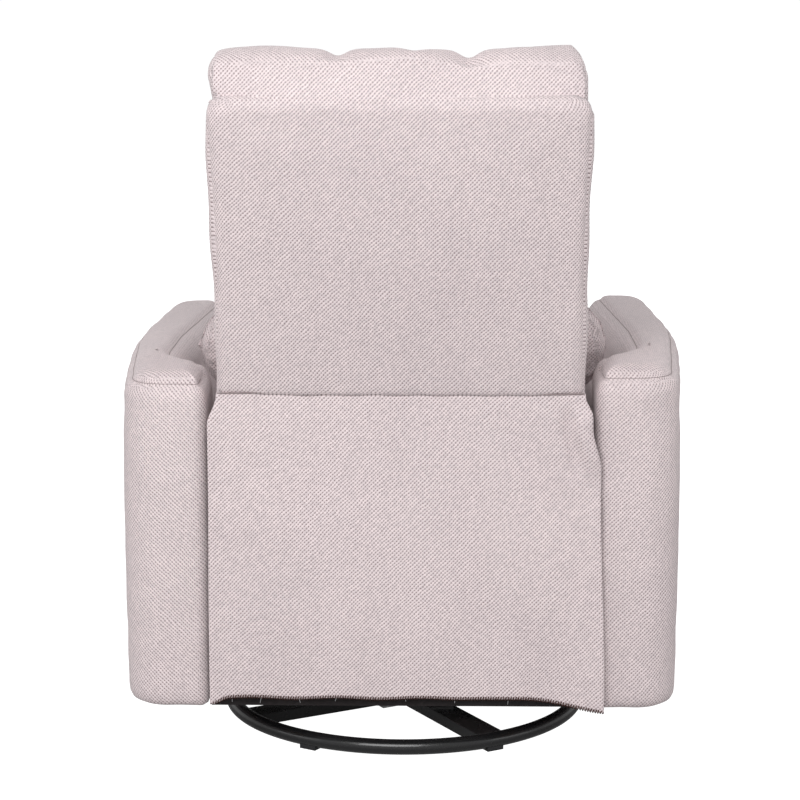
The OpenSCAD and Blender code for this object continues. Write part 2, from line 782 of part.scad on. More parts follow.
base_ring();
base_cross_long();
base_cross_halves();
floor_glides();
swivel_lower_plate();
swivel_lower_bolts();
swivel_upper_plate();
swivel_balls();
ball_cage();
stand_members();
stand_bolts();
glide_bracket();  // glide_bracket_left
mirror([1, 0, 0]) glide_bracket();  // glide_bracket_right
upper_glide_pins();
glide_links(-glide_y);  // front_glide_links
link_bushes(-glide_y);  // front_link_bushes
glide_links(glide_y);  // rear_glide_links
link_bushes(glide_y);  // rear_link_bushes
glide_rail();  // glide_rail_left
mirror([1, 0, 0]) glide_rail();  // glide_rail_right
lower_glide_pins();
seat_side(1);  // seat_side_left
mirror([1, 0, 0]) seat_side(-1);  // seat_side_right
seat_rail(front_rail_y);  // seat_front_rail
seat_rail(rear_rail_y - rail_t);  // seat_rear_rail
mechanism_plates();
mechanism_pins();
seat_springs();
spring_clips();
seat_cushion();
arm_cover(1);  // arm_cover_left
mirror([1, 0, 0]) arm_cover(-1);  // arm_cover_right
arm_frame();  // arm_frame_left
mirror([1, 0, 0]) arm_frame();  // arm_frame_right
arm_bolts();
arm_dust_covers();
rear_bottom_rail();
rear_rail_blocks();
rear_flap();
release_bezel();
release_cable();
release_pull();
latch_lever();
back_stile();  // back_stile_left
mirror([1, 0, 0]) back_stile();  // back_stile_right
back_cross_rails();
back_webbing();
back_brackets();
back_panel();
back_side_bands();
back_cushion();
lumbar_pillow();
footrest_arms();
torsion_tube();
footrest_links();
footrest_stays();
footrest_brackets();
footrest_board();
footrest_pad();
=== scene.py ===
import bpy, bmesh, json, math
from mathutils import Matrix, Vector, noise


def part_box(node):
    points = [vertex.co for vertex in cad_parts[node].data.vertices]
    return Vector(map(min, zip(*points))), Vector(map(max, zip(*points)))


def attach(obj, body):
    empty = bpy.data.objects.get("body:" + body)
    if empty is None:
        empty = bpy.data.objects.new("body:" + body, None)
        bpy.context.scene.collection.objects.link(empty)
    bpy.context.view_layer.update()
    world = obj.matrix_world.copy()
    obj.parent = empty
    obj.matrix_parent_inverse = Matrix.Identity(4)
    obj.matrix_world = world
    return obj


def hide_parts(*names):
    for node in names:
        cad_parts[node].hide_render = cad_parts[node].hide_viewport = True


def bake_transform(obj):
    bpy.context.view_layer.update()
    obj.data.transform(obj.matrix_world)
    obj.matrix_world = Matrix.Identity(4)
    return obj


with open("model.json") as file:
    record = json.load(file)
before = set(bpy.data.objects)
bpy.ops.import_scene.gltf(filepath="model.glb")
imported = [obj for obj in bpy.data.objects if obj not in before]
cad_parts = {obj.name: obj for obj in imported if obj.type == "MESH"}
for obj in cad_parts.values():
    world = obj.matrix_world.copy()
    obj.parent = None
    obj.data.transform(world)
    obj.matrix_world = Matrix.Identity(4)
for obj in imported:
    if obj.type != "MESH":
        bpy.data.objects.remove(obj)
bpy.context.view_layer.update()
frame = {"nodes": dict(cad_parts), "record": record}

NODES = frame["nodes"]
scene = bpy.context.scene

LEAN = math.radians(16)                 # the back's slope at rest
HINGE = Vector((0, 0.228, 0.300))       # the recline hinge


def back(x, y, z):
    """A point given in the backrest's own frame: y across its thickness, z up its slope."""
    return Vector((x, HINGE.y + y * math.cos(LEAN) + z * math.sin(LEAN),
                   HINGE.z + z * math.cos(LEAN) - y * math.sin(LEAN)))


def to_back(p):
    """The opposite of back()."""
    y, z = p.y - HINGE.y, p.z - HINGE.z
    return Vector((p.x, y * math.cos(LEAN) - z * math.sin(LEAN), y * math.sin(LEAN) + z * math.cos(LEAN)))


def smooth(t):
    """0 below 0, 1 above 1, and an even rise between them."""
    t = max(0.0, min(1.0, t))
    return t * t * (3 - 2 * t)


def bell(t, w):
    """1 at t = 0, falling off over a width of w."""
    return math.exp(-(t / w) ** 2)


# ---- materials ----

def new_material(name):
    m = bpy.data.materials.new(name)
    m.use_nodes = True
    nt = m.node_tree
    return m, nt, nt.nodes["Principled BSDF"]


def add(nt, kind, **values):
    n = nt.nodes.new(kind)
    for k, v in values.items():
        setattr(n, k, v)
    return n


def math_node(nt, op, a, b=None, clamp=False):
    n = add(nt, "ShaderNodeMath", operation=op, use_clamp=clamp)
    for i, v in enumerate((a, b)):
        if v is None:
            continue
        if isinstance(v, (int, float)):
            n.inputs[i].default_value = v
        else:
            nt.links.new(v, n.inputs[i])
    return n.outputs[0]


def mix_colour(nt, fac, a, b):
    n = add(nt, "ShaderNodeMix", data_type="RGBA")
    if isinstance(fac, (int, float)):
        n.inputs[0].default_value = fac
    else:
        nt.links.new(fac, n.inputs[0])
    for i, v in ((6, a), (7, b)):
        if isinstance(v, tuple):
            n.inputs[i].default_value = (*v, 1)
        else:
            nt.links.new(v, n.inputs[i])
    return n.outputs[2]


def noise_node(nt, vector, scale, detail=2.0, rough=0.5):
    n = add(nt, "ShaderNodeTexNoise")
    n.inputs["Scale"].default_value = scale
    n.inputs["Detail"].default_value = detail
    n.inputs["Roughness"].default_value = rough
    nt.links.new(vector, n.inputs["Vector"])
    return n.outputs[0]


def ramp(nt, value, stops):
    n = add(nt, "ShaderNodeValToRGB")
    e = n.color_ramp.elements
    while len(e) < len(stops):
        e.new(0.5)
    for el, (p, c) in zip(e, stops):
        el.position = p
        el.color = (*c, 1) if len(c) == 3 else c
    nt.links.new(value, n.inputs[0])
    return n.outputs[0]


def bump(nt, bsdf, height, distance, strength=1.0):
    n = add(nt, "ShaderNodeBump")
    n.inputs["Strength"].default_value = strength
    n.inputs["Distance"].default_value = distance
    nt.links.new(height, n.inputs["Height"])
    nt.links.new(n.outputs[0], bsdf.inputs["Normal"])


PITCH = 0.0056        # from one yarn crossing to the next in a row


def woven(name, yarn=(0.80, 0.70, 0.712), gap=(0.25, 0.185, 0.190), pitch=PITCH, depth=0.0007):
    """Hopsack upholstery: staggered light yarn crossings with darker gaps between them."""
    m, nt, b = new_material(name)
    co = add(nt, "ShaderNodeTexCoord")
    wob = noise_node(nt, co.outputs["Object"], 55, 2)
    shift = math_node(nt, "MULTIPLY", math_node(nt, "SUBTRACT", wob, 0.5), 0.0032)
    xyz = add(nt, "ShaderNodeSeparateXYZ")
    nt.links.new(co.outputs["Object"], xyz.inputs[0])
    nrm = add(nt, "ShaderNodeSeparateXYZ")
    nt.links.new(co.outputs["Normal"], nrm.inputs[0])
    along = add(nt, "ShaderNodeAttribute", attribute_name="weave_u")
    k = 2 * math.pi / pitch

    def phase(v):
        return math_node(nt, "MULTIPLY", math_node(nt, "ADD", v, shift), k)

    def cross(p, q):
        """Staggered crossings, drawn out a little along one diagonal."""
        even_part = math_node(nt, "MULTIPLY", math_node(nt, "COSINE", p), math_node(nt, "COSINE", q))
        odd_part = math_node(nt, "MULTIPLY", math_node(nt, "SINE", p), math_node(nt, "SINE", q))
        return math_node(nt, "SUBTRACT", even_part, math_node(nt, "MULTIPLY", odd_part, 0.26))
    px, py, pz = (phase(xyz.outputs[i]) for i in range(3))
    wall = cross(phase(along.outputs["Fac"]), pz)
    top = cross(px, py)
    up = math_node(nt, "ABSOLUTE", nrm.outputs[2])
    flat = add(nt, "ShaderNodeMapRange")
    flat.inputs["From Min"].default_value = 0.66
    flat.inputs["From Max"].default_value = 0.76
    nt.links.new(up, flat.inputs["Value"])
    mixed = add(nt, "ShaderNodeMix", data_type="FLOAT")
    nt.links.new(flat.outputs[0], mixed.inputs[0])
    nt.links.new(wall, mixed.inputs[2])
    nt.links.new(top, mixed.inputs[3])
    h = math_node(nt, "MULTIPLY_ADD", mixed.outputs[0], 0.5)
    h.node.inputs[2].default_value = 0.5
    fibre = noise_node(nt, co.outputs["Object"], 900, 3, 0.7)
    hair = math_node(nt, "MULTIPLY", math_node(nt, "SUBTRACT", fibre, 0.5), 0.55)
    lift = math_node(nt, "ADD", h, hair, True)
    melange = noise_node(nt, co.outputs["Object"], 170, 2, 0.6)
    light = mix_colour(nt, ramp(nt, melange, [(0.35, (0, 0, 0)), (0.65, (1, 1, 1))]),
                       tuple(c * 0.90 for c in yarn), (yarn[0] * 1.06, yarn[1] * 1.05, yarn[2] * 1.04))
    yarn_share = ramp(nt, lift, [(0.0, (0, 0, 0)), (0.17, (0.34, 0.34, 0.34)), (0.50, (1, 1, 1))])
    colour = mix_colour(nt, yarn_share, gap, light)
    cloudy = noise_node(nt, co.outputs["Object"], 7, 3, 0.55)
    tone = ramp(nt, cloudy, [(0.3, (0.93, 0.93, 0.935)), (0.7, (1.0, 1.0, 1.0))])
    mul = add(nt, "ShaderNodeMix", data_type="RGBA", blend_type="MULTIPLY")
    mul.inputs[0].default_value = 1.0
    nt.links.new(colour, mul.inputs[6])
    nt.links.new(tone, mul.inputs[7])
    nt.links.new(mul.outputs[2], b.inputs["Base Color"])
    b.inputs["Roughness"].default_value = 0.92
    b.inputs["Specular IOR Level"].default_value = 0.18
    b.inputs["Sheen Weight"].default_value = 0.22
    b.inputs["Sheen Roughness"].default_value = 0.45
    bump(nt, b, lift, depth, 0.75)
    return m


def plain(name, colour, rough=0.5, metal=0.0, grain=400, depth=0.0001, vary=0.08, spec=0.5, coat=0.0):
    """Painted, plated or moulded surface with fine grain, slight mottling and uneven gloss."""
    m, nt, b = new_material(name)
    co = add(nt, "ShaderNodeTexCoord").outputs["Object"]
    broad = noise_node(nt, co, 14, 4, 0.6)
    fine = noise_node(nt, co, grain, 3, 0.6)
    dark = tuple(c * (1 - vary) for c in colour)
    lite = tuple(min(1, c * (1 + vary) + 0.002) for c in colour)
    nt.links.new(mix_colour(nt, broad, dark, lite), b.inputs["Base Color"])
    n = add(nt, "ShaderNodeMapRange")
    n.inputs["To Min"].default_value = max(0.03, rough - 0.07)
    n.inputs["To Max"].default_value = min(1, rough + 0.07)
    nt.links.new(broad, n.inputs["Value"])
    nt.links.new(n.outputs[0], b.inputs["Roughness"])
    b.inputs["Metallic"].default_value = metal
    b.inputs["Specular IOR Level"].default_value = spec
    b.inputs["Coat Weight"].default_value = coat
    bump(nt, b, fine, depth, 0.6)
    return m


def timber(name):
    """Sawn softwood: wavy growth rings with fine pores."""
    m, nt, b = new_material(name)
    co = add(nt, "ShaderNodeTexCoord").outputs["Object"]
    mp = add(nt, "ShaderNodeMapping")
    mp.inputs["Scale"].default_value = (9, 9, 1.2)
    nt.links.new(co, mp.inputs["Vector"])
    w = add(nt, "ShaderNodeTexWave")
    w.inputs["Scale"].default_value = 6
    w.inputs["Distortion"].default_value = 7
    w.inputs["Detail"].default_value = 4
    nt.links.new(mp.outputs[0], w.inputs["Vector"])
    pores = noise_node(nt, mp.outputs[0], 60, 4, 0.7)
    rings = math_node(nt, "MULTIPLY", w.outputs["Fac"], 0.6)
    g = math_node(nt, "ADD", rings, math_node(nt, "MULTIPLY", pores, 0.4))
    nt.links.new(ramp(nt, g, [(0.2, (0.40, 0.25, 0.13)), (0.8, (0.66, 0.49, 0.31))]), b.inputs["Base Color"])
    b.inputs["Roughness"].default_value = 0.7
    bump(nt, b, g, 0.0004, 0.4)
    return m


M_FABRIC = woven("oat_weave")
# seam thread: the thread is real, but its dark oat colour is painted shade of the sunk seam line
M_SEAM_SHADE = plain("seam_thread_painted_shade", (0.30, 0.245, 0.245), 0.9, grain=900, depth=0.0003, spec=0.2)
M_OVERLOCK = plain("overlock_thread", (0.060, 0.022, 0.016), 0.85, grain=1500, depth=0.0004, spec=0.2)
M_BLACK = plain("black_powder_coat", (0.011, 0.011, 0.012), 0.27,
                grain=700, depth=0.00005, vary=0.25, coat=0.25)
M_ZINC = plain("zinc_plate", (0.60, 0.60, 0.61), 0.34, metal=1.0, grain=300, depth=0.00005)
M_TIMBER = timber("frame_wood")
M_NYLON = plain("natural_nylon", (0.80, 0.79, 0.74), 0.45, grain=500)
M_PLASTIC = plain("black_moulded", (0.016, 0.016, 0.018), 0.48, grain=1100, depth=0.00015)
M_DUST = woven("dust_cloth", (0.035, 0.030, 0.031), (0.012, 0.010, 0.010), 0.0018, 0.0002)
M_WEB = woven("elastic_web", (0.50, 0.46, 0.38), (0.20, 0.18, 0.14), 0.0024, 0.0003)
M_WRAP = woven("rail_wrap", (0.72, 0.62, 0.63), (0.45, 0.37, 0.375), 0.0020, 0.0002)
SLOT_MATERIAL = {
    "oat_fabric": M_FABRIC, "black_steel": M_BLACK, "zinc_steel": M_ZINC, "frame_timber": M_TIMBER,
    "nylon": M_NYLON, "black_plastic": M_PLASTIC, "dust_cloth": M_DUST, "webbing": M_WEB,
}
# timber that shows round the footrest is covered in cloth
WRAPPED = ("seat_front_rail", "footrest_board", "seat_side_left", "seat_side_right")
for sub in frame["record"]["subparts"]:
    o = NODES[sub["node"]]
    if not o.material_slots:
        o.data.materials.append(None)
    for s in o.material_slots:
        s.link = "OBJECT"
        s.material = M_WRAP if sub["node"] in WRAPPED else SLOT_MATERIAL[sub["material_slot"]]


# ---- mesh helpers ----

def make(name, verts, faces, material, shade=True):
    me = bpy.data.meshes.new(name)
    me.from_pydata([tuple(v) for v in verts], [], faces)
    me.validate()
    me.update()
    o = bpy.data.objects.new(name, me)
    scene.collection.objects.link(o)
    me.materials.append(material)
    if shade:
        me.shade_smooth()
    return o


def select(o):
    bpy.ops.object.select_all(action="DESELECT")
    o.select_set(True)
    bpy.context.view_layer.objects.active = o


def apply_all(o):
    select(o)
    for mod in list(o.modifiers):
        bpy.ops.object.modifier_apply(modifier=mod.name)


def weave_by_side(o):
    """Runs the weave round the piece: along x on faces that look fore or aft, along y on the sides."""
    me = o.data
    a = me.attributes.new("weave_u", "FLOAT", "POINT")
    for v, d in zip(me.vertices, a.data):
        n = v.normal
        d.value = v.co.x if abs(n.y) >= abs(n.x) else v.co.y + PITCH / 4


def weave_from(o, values):
    """Runs the weave by a given distance for each vertex."""
    a = o.data.attributes.new("weave_u", "FLOAT", "POINT")
    for d, v in zip(a.data, values):
        d.value = v


def outward(o):
    """Turns every face to look outwards."""
    bm = bmesh.new()
    bm.from_mesh(o.data)
    bmesh.ops.recalc_face_normals(bm, faces=bm.faces)
    bm.to_mesh(o.data)
    bm.free()


def loft(name, rings, material, cap=(True, True)):
    """A skin over rings of equally many points, closed by a face at each end."""
    n = len(rings[0])
    verts = [p for r in rings for p in r]
    faces = []
    for j in range(len(rings) - 1):
        for i in range(n):
            k = (i + 1) % n
            faces.append((j * n + i, j * n + k, (j + 1) * n + k, (j + 1) * n + i))
    if cap[0]:
        faces.append(tuple(reversed(range(n))))
    if cap[1]:
        faces.append(tuple((len(rings) - 1) * n + i for i in range(n)))
    return make(name, verts, faces, material)


def tube(name, points, radius, material, sides=8, closed=False):
    """A round thread or piping along points."""
    n = len(points)
    rings = []
    for i, p in enumerate(points):
        a = points[(i - 1) % n] if closed or i else p
        b = points[(i + 1) % n] if closed or i < n - 1 else p
        d = (Vector(b) - Vector(a)).normalized()
        ref = Vector((0, 0, 1)) if abs(d.z) < 0.9 else Vector((0, 1, 0))
        u = d.cross(ref).normalized()
        w = d.cross(u)
        r = radius(i / max(1, n - 1)) if callable(radius) else radius
        turn = [2 * math.pi * k / sides for k in range(sides)]
        rings.append([Vector(p) + r * (math.cos(a) * u + math.sin(a) * w) for a in turn])
    if closed:
        rings.append(rings[0])
        return loft(name, rings, material, (False, False))
    return loft(name, rings, material)


def arc_corner(a, p, b, r, steps=10):
    """The points of an arc that rounds the corner p between a and b."""
    a, p, b = Vector(a), Vector(p), Vector(b)
    u, v = (a - p).normalized(), (b - p).normalized()
    half = u.angle(v) / 2
    # the arc takes less than half of the shorter side next to it
    r = min(r, 0.48 * min((a - p).length, (b - p).length) * math.tan(half))
    c = p + (u + v).normalized() * (r / math.sin(half))
    s = p + u * (r / math.tan(half)) - c
    turn = math.pi - 2 * half
    e = p + v * (r / math.tan(half)) - c
    way = 1 if s.x * e.y - s.y * e.x > 0 else -1
    out = []
    for i in range(steps + 1):
        t = way * turn * i / steps
        across, along = math.cos(t), math.sin(t)
        out.append((c.x + s.x * across - s.y * along, c.y + s.x * along + s.y * across))
    return out


def outline(corners, d=0.0):
    """Closed outline with rounded corners, moved inwards by d.

    A corner is (x, y, radius, way in along x, way in along y).
    """
    pts = [(c[0] + c[3] * d, c[1] + c[4] * d) for c in corners]
    n = len(pts)
    out = []
    for i in range(n):
        a, p, b = pts[i - 1], pts[i], pts[(i + 1) % n]
        turns_out = (p[0] - a[0]) * (b[1] - p[1]) > (p[1] - a[1]) * (b[0] - p[0])
        r = max(corners[i][2] - d, 0.0015) if turns_out else corners[i][2] + d
        out += arc_corner(a, p, b, r)
    return out


CLOTH_FRAMES = 18


def inflate(name, node, voxel, pressure, cap, shrink):
    """Padded piece: the CAD solid, remeshed a little small and blown up as cloth, up to a cap."""
    me = NODES[node].data.copy()
    me.name = name
    o = bpy.data.objects.new(name, me)
    scene.collection.objects.link(o)
    me.materials.clear()
    me.materials.append(M_FABRIC)
    m = o.modifiers.new("remesh", "REMESH")
    m.mode = "VOXEL"
    m.voxel_size = voxel * 1.0
    m.use_smooth_shade = True
    apply_all(o)
    sm = o.modifiers.new("even", "SMOOTH")
    sm.factor = 0.5
    sm.iterations = 4
    apply_all(o)
    me = o.data
    for v in me.vertices:
        v.co -= v.normal * shrink
    rest = [v.co.copy() for v in me.vertices]
    c = o.modifiers.new("cloth", "CLOTH")
    st = c.settings
    st.quality = 4
    st.mass = 0.3
    st.tension_stiffness = 25
    st.compression_stiffness = 25
    st.shear_stiffness = 8
    st.bending_stiffness = 1.2
    st.use_pressure = True
    st.uniform_pressure_force = pressure
    st.effector_weights.gravity = 0
    c.collision_settings.use_collision = False
    scene.frame_start = 1
    scene.frame_end = CLOTH_FRAMES
    c.point_cache.frame_start = 1
    c.point_cache.frame_end = CLOTH_FRAMES
    for f in range(1, CLOTH_FRAMES + 1):
        scene.frame_set(f)
    apply_all(o)
    scene.frame_set(1)
    for v, r in zip(o.data.vertices, rest):
        move = v.co - r
        if move.length > cap:
            v.co = r + move * (cap / move.length)
    return o


def finish_soft(o):
    """One subdivision, smooth shading and the weave."""
    s = o.modifiers.new("sub", "SUBSURF")
    s.levels = 1
    s.render_levels = 1
    apply_all(o)
    o.data.shade_smooth()
    weave_by_side(o)


def groove(o, dist, depth, width, where=None):
    """Presses a sewn line into a soft surface: dist(co) is the distance to it, in metres."""
    me = o.data
    me.update()
    normals = [v.normal.copy() for v in me.vertices]
    for v, n in zip(me.vertices, normals):
        if where and not where(v.co, n):
            continue
        d = dist(v.co)
        v.co -= n * depth * math.exp(-(d / width) ** 2)


def wrinkle(o, amount, scale, seed=0.0, where=None):
    """Uneven padding: smooth noise along the normals, of this many waves per metre."""
    me = o.data
    me.update()
    for v, n in [(v, v.normal.copy()) for v in me.vertices]:
        w = 1.0 if where is None else where(v.co, n)
        v.co += n * amount * w * noise.noise(v.co * scale + Vector((seed, seed * 1.7, -seed)))


def on_surface(o, points, lift=0.0):
    """Each point dropped on the nearest place of the piece's surface."""
    out = []
    for p in points:
        ok, loc, nrm, _ = o.closest_point_on_mesh(p)
        out.append(loc + nrm * lift if ok else p)
    return out


# ---- arms ----

ARM_BOTTOM, ARM_TOP = 0.0845, 0.577
ARM_PLAN = [
    (0.291, -0.428, 0.046, 1, 1), (0.404, -0.428, 0.064, -1, 1), (0.4155, -0.070, 1.5, -1, 0),
    (0.3815, 0.305, 0.080, -1, -1), (0.267, 0.305, 0.017, 0.85, -1), (0.267, 0.200, 0.016, 0.85, 0.41),
    (0.310, 0.158, 0.050, 1, 0.41), (0.311, -0.020, 0.7, 1, 0),
]
CROWN = 0.042                           # radius of an arm's upper edge
OUTER_SEAM_Z = ARM_TOP - 0.017
INNER_SEAM_IN = 0.024                   # from the arm's side to the seam along its inner edge
ARM_STEP = 0.006


def crown_layers():
    """(inset, height) from the foot of an arm to the middle of its top."""
    foot = ((0.011, 0.0), (0.004, 0.004), (0.001, 0.011), (0.0, 0.020))
    out = [(d, ARM_BOTTOM + z) for d, z in foot]
    z, top = ARM_BOTTOM + 0.034, ARM_TOP - CROWN
    while z < top:
        out.append((0.0, z))
        z += 0.014
    for i in range(17):
        a = math.radians(90 * i / 16)
        out.append((CROWN * (1 - math.cos(a)) ** 0.92, top + CROWN * math.sin(a)))
    return out


def arm_height(y, z, low):
    """The top of an arm dips a little towards the rear; low is how much lower this arm's padding sits."""
    share = smooth((z - 0.40) / 0.17)
    return z - share * (low + 0.010 * smooth((y - 0.12) / 0.17))


def arm_rings(layers, low):
    """One ring of points for each layer, and each point's distance along the foot's outline."""
    ref = outline(ARM_PLAN)
    sides = [math.dist(p, ref[(i + 1) % len(ref)]) for i, p in enumerate(ref)]
    cuts = [max(1, round(side / ARM_STEP)) for side in sides]
    run, along = 0.0, []
    for side, n in zip(sides, cuts):
        along += [run + side * k / n for k in range(n)]
        run += side
    rings = []
    for d, z in layers:
        pts = outline(ARM_PLAN, d)
        ring = []
        for i, n in enumerate(cuts):
            a, b = pts[i], pts[(i + 1) % len(pts)]
            for k in range(n):
                x, y = a[0] + (b[0] - a[0]) * k / n, a[1] + (b[1] - a[1]) * k / n
                ring.append(Vector((x, y, arm_height(y, z, low))))
        rings.append(ring)
    return rings, along


def pad_arm(me, layers, n_ring, low):
    """The padding swells between the seams and sinks along them."""
    me.update()
    for index, (v, n) in enumerate([(v, v.normal.copy()) for v in me.vertices]):
        z = v.co.z
        wall = smooth((z - 0.10) / 0.05) * smooth((0.54 - z) / 0.06)
        v.co += n * (0.0015 * wall * math.sin(math.pi * max(0, min(1, (z - ARM_BOTTOM) / 0.46))))
        v.co += n * 0.0022 * wall * noise.noise(v.co * 9)
        v.co += n * 0.0012 * noise.noise(v.co * 24)
        if v.co.x > 0.345 or v.co.y > 0.225:
            v.co -= n * 0.0028 * bell(z - arm_height(v.co.y, OUTER_SEAM_Z, low), 0.0042)
        elif z > 0.5:
            v.co -= n * 0.0028 * bell(layers[index // n_ring][0] - INNER_SEAM_IN, 0.005)


def longest_run(numbered):
    """The longest row of points whose numbers follow each other."""
    runs, last = [[]], None
    for i, p in numbered:
        if last is not None and i != last + 1:
            runs.append([])
        runs[-1].append(p)
        last = i
    return max(runs, key=len)


def on_outer_seam(co):
    return (abs(co.x) > 0.350 or co.y > 0.255) and abs(co.x) > 0.276 and co.y > -0.30


def on_inner_seam(co):
    return abs(co.x) < 0.352 and -0.38 < co.y < 0.175


def arm(name, side, node, low):
    layers = crown_layers()
    rings, along = arm_rings(layers, low)
    n_ring = len(rings[0])
    o = loft(name, rings, M_FABRIC)
    bm = bmesh.new()
    bm.from_mesh(o.data)
    bmesh.ops.recalc_face_normals(bm, faces=bm.faces)
    bmesh.ops.triangulate(bm, faces=[f for f in bm.faces if len(f.verts) > 4])
    bm.to_mesh(o.data)
    bm.free()
    me = o.data
    pad_arm(me, layers, n_ring, low)
    if side < 0:
        for v in me.vertices:
            v.co.x = -v.co.x
        me.flip_normals()
    weave_from(o, along * len(layers))
    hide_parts(node)
    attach(o, "carriage")
    # seam threads, sunk in the grooves; their dark colour is painted shade of the grooves
    n_layers = range(len(layers))
    outer_layer = min(n_layers, key=lambda i: abs(layers[i][1] - OUTER_SEAM_Z))
    inner_layer = min(n_layers, key=lambda i: abs(layers[i][0] - INNER_SEAM_IN) + (layers[i][1] < 0.4))
    for tag, layer, wanted in (("outer", outer_layer, on_outer_seam), ("inner", inner_layer, on_inner_seam)):
        ring = [me.vertices[layer * n_ring + i] for i in range(n_ring)]
        thread = [(i, v.co + v.normal * 0.0002) for i, v in enumerate(ring) if wanted(v.co)]
        t = tube(f"{name}_{tag}_seam", longest_run(thread), 0.00045, M_SEAM_SHADE, 6)
        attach(t, "carriage")


arm("arm_upholstery_left", 1, "arm_cover_left", 0.009)
arm("arm_upholstery_right", -1, "arm_cover_right", -0.001)


# ---- back cushion ----

CHANNELS = (0.081, -0.089)              # x of the sewn channels
BUMPS = ((0.159, 0.060), (0.013, 0.052), (-0.168, 0.062))       # x and width of the swell between them
UP_BACK = back(0, 0, 1) - back(0, 0, 0)

cushion = inflate("back_cushion_cover", "back_cushion", voxel=0.008, pressure=5.0, cap=0.024, shrink=0.006)
for v in cushion.data.vertices:
    p = to_back(v.co)
    high = smooth((p.z - 0.60) / 0.10)
    lump = sum(bell(p.x - c, w) for c, w in BUMPS) - 0.62
    rise = 0.0035 + 0.0050 * smooth((p.x + 0.10) / 0.30)
    v.co += UP_BACK * ((0.0052 * lump + rise) * high)
    corner = smooth((p.z - 0.63) / 0.05) * smooth((abs(p.x) - 0.17) / 0.05)
    v.co.x *= 1.040 + 0.014 * high + 0.006 * corner
for c in CHANNELS:
    groove(cushion, lambda co, c=c: co.x - c, 0.010, 0.013, lambda co, n: to_back(co).y < -0.03)
groove(cushion, lambda co: abs(co.x) - 0.248, 0.003, 0.0045,
       lambda co, n: to_back(co).z > 0.60 or to_back(co).y < -0.05)
wrinkle(cushion, 0.004, 7, 3.0)
wrinkle(cushion, 0.0018, 22, 5.0)
finish_soft(cushion)
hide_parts("back_cushion")
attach(cushion, "backrest")


# ---- rear panel, upholstered, with soft edges ----

PANEL_LOW, PANEL_HIGH = 0.246, 0.664


def panel_half(z):
    """Half of the panel's width at a height: a little narrower in its middle."""
    t = (z - PANEL_LOW) / (PANEL_HIGH - PANEL_LOW)
    return 0.2490 - 0.0125 * t + 0.0120 * t ** 2 + 0.0008 * math.sin(9 * t)


def build_panel():
    nx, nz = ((100, 84))
    # (inset, y) of the rim's rings, from the front edge to the rear face
    rim = ((0.0, -0.004), (0.0, 0.006), (0.0016, 0.0115), (0.0045, 0.0155), (0.009, 0.0182), (0.015, 0.0195))
    corner_r = 0.024
    verts, faces, us = [], [], []

    def spot(i, j, inset, y):
        t = j / nz
        z = PANEL_LOW + (PANEL_HIGH - PANEL_LOW - inset) * t
        half = panel_half(z)
        over = max(0.0, z - (PANEL_HIGH - inset - corner_r))
        half -= corner_r - math.sqrt(max(0.0, corner_r ** 2 - over ** 2)) if over else 0.0
        return (half - inset) * (2 * i / nx - 1), y, z

    # the rear face is a grid
    for j in range(nz + 1):
        for i in range(nx + 1):
            x, y, z = spot(i, j, rim[-1][0], rim[-1][1])
            edge = min(1.0, min((panel_half(z) - abs(x)) / 0.10, (PANEL_HIGH - z) / 0.09))
            y += 0.0048 * smooth(edge) + 0.0012 * noise.noise(Vector((x * 7, 3.1, z * 5)))
            y += 0.0007 * math.sin(x * 2 * math.pi / 0.062 + 1.0) * smooth(edge)
            y -= 0.0022 * smooth((PANEL_LOW + 0.008 - z) / 0.008)
            verts.append(back(x, y, z))
            us.append(x)
    w = nx + 1
    for j in range(nz):
        for i in range(nx):
            faces.append((j * w + i, j * w + i + 1, (j + 1) * w + i + 1, (j + 1) * w + i))
    # rings wrap its sides and top forwards
    up, over_top = [(0, j) for j in range(nz + 1)], [(i, nz) for i in range(1, nx + 1)]
    loop = up + over_top + [(nx, j) for j in range(nz - 1, -1, -1)]
    prev = [j * w + i for i, j in loop]
    for inset, y in reversed(rim[:-1]):
        start = len(verts)
        for i, j in loop:
            x, yy, z = spot(i, j, inset, y)
            verts.append(back(x, yy, z))
            us.append(x if i not in (0, nx) else x + (rim[-1][1] - y) * (1 if x > 0 else -1))
        cur = list(range(start, start + len(loop)))
        for a in range(len(loop) - 1):
            faces.append((prev[a], prev[a + 1], cur[a + 1], cur[a]))
        prev = cur
    faces.append(tuple(prev))
    o = make("rear_panel_cover", verts, faces, M_FABRIC)
    bm = bmesh.new()
    bm.from_mesh(o.data)
    bmesh.ops.holes_fill(bm, edges=[e for e in bm.edges if e.is_boundary])
    bmesh.ops.recalc_face_normals(bm, faces=bm.faces)
    bm.to_mesh(o.data)
    bm.free()
    weave_from(o, us + [0.0] * (len(o.data.vertices) - len(us)))
    return o


panel = build_panel()
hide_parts("back_panel")
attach(panel, "backrest")


def build_side_band(side):
    """Narrow padded band between the cushion and the rear panel, on one side."""
    rows = 60
    low, high = 0.180, 0.636
    section = [(0.226, -0.036), (0.236, -0.037), (0.2455, -0.033), (0.2500, -0.022), (0.2512, -0.008),
               (0.2508, 0.004), (0.2470, 0.0115), (0.238, 0.013), (0.226, 0.013)]
    rings, us = [], []
    for j in range(rows + 1):
        t = j / rows
        z = low + (high - low) * t
        wave_x = 0.0012 * math.sin(9 * t + side) + 0.0009 * math.sin(23 * t)
        rings.append([back(side * (x + (wave_x if x > 0.24 else 0)), y, z) for x, y in section])
        us += [y for x, y in section]
    o = loft(f"back_side_band_{'left' if side > 0 else 'right'}", rings, M_FABRIC)
    outward(o)
    weave_from(o, us)
    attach(o, "backrest")
    return o


band_left = build_side_band(1)
build_side_band(-1)
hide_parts("back_side_bands")


# ---- rear flap ----

